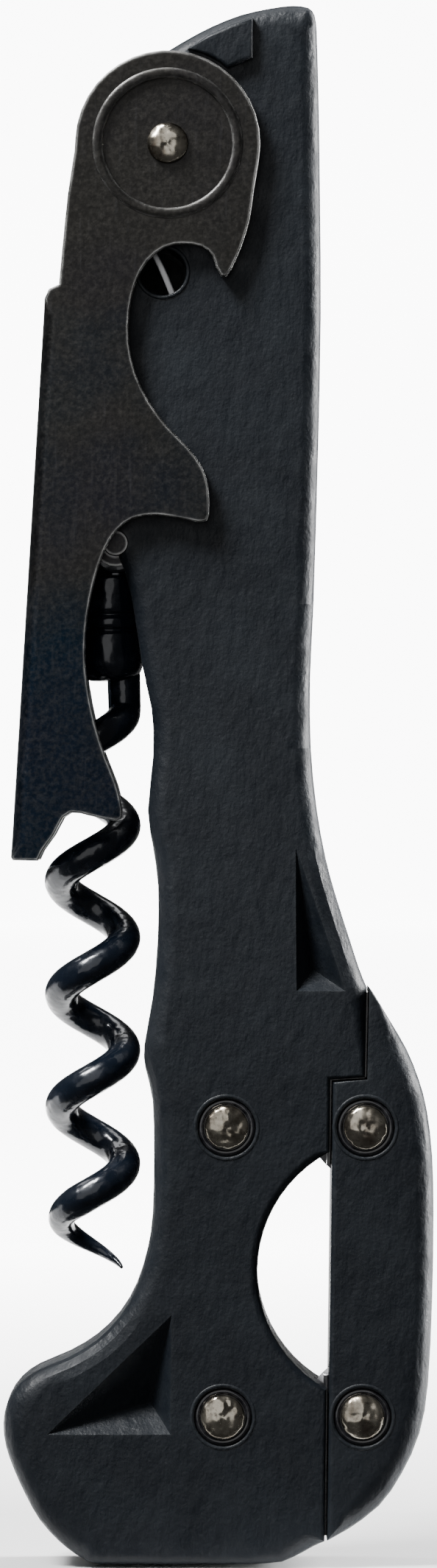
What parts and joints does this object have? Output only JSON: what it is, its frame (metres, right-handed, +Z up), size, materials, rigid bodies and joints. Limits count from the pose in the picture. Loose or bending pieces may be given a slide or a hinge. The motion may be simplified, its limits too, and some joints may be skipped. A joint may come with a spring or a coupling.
{
  "type": "lever corkscrew",
  "caption": "Folding pocket corkscrew with a waisted black handle, a swinging two step lever, a folding worm and a pull-out foil cutter jaw.",
  "frame": {"origin": "middle of the footprint, on the flat end of the handle that the tool stands on", "axes": "+Z up the tool's length to the lever's pivot end; the front, with the lever folded on the left, faces -Y; +X to the foil cutter jaw"},
  "size_m": [0.036, 0.0142, 0.13],
  "materials": {
    "matte_black": "soft matte, fine ripple",
    "gunmetal": "dark blued satin, bright worn edges",
    "blued_steel": "glossy blue-black lacquer",
    "bright_steel": "worn nickel",
    "spring_steel": "ground spring steel",
    "black_washer": "glossy black"
  },
  "bodies": {
    "handle": {"handle_front_shell": "matte_black", "handle_back_shell": "matte_black", "core_plate": "spring_steel", "worm_backspring": "spring_steel", "jaw_detent_spring": "spring_steel", "handle_rivet_upper": "bright_steel", "handle_rivet_lower": "bright_steel", "handle_washer_upper_front": "black_washer", "handle_washer_upper_back": "black_washer", "handle_washer_lower_front": "black_washer", "handle_washer_lower_back": "black_washer", "lever_pivot_rivet": "bright_steel", "worm_pin": "bright_steel", "worm_spacer_front": "spring_steel", "worm_spacer_back": "spring_steel"},
    "lever": {"lever": "gunmetal"},
    "worm": {"worm": "blued_steel"},
    "jaw": {"jaw_front_shell": "matte_black", "jaw_back_shell": "matte_black", "jaw_slider": "spring_steel", "jaw_rivet_upper": "bright_steel", "jaw_rivet_lower": "bright_steel", "jaw_washer_upper_front": "black_washer", "jaw_washer_upper_back": "black_washer", "jaw_washer_lower_front": "black_washer", "jaw_washer_lower_back": "black_washer"},
    "disc_upper": {"cutting_disc_upper": "bright_steel"},
    "disc_lower": {"cutting_disc_lower": "bright_steel"}
  },
  "joints": [
    {"name": "lever_swing", "type": "hinge", "parent": "handle", "child": "lever", "pos_m": [-0.00423, 0, 0.11836], "axis": [0, 1, 0], "range_deg": [0, 105]},
    {"name": "worm_swing", "type": "hinge", "parent": "handle", "child": "worm", "pos_m": [-0.0086, 0, 0.0851], "axis": [0, 1, 0], "range_deg": [0, 90]},
    {"name": "jaw_slide", "type": "slide", "parent": "handle", "child": "jaw", "axis": [1, 0, 0], "range_m": [0, 0.018]},
    {"name": "disc_upper_spin", "type": "hinge", "parent": "jaw", "child": "disc_upper", "pos_m": [0.01226, 0, 0.0364], "axis": [0, 1, 0], "continuous": true},
    {"name": "disc_lower_spin", "type": "hinge", "parent": "jaw", "child": "disc_lower", "pos_m": [0.012, 0, 0.0123], "axis": [0, 1, 0], "continuous": true}
  ],
  "couplings": [
    {"joint": "worm_swing", "follows": "lever_swing", "ratio": 0.85714}
  ]
}
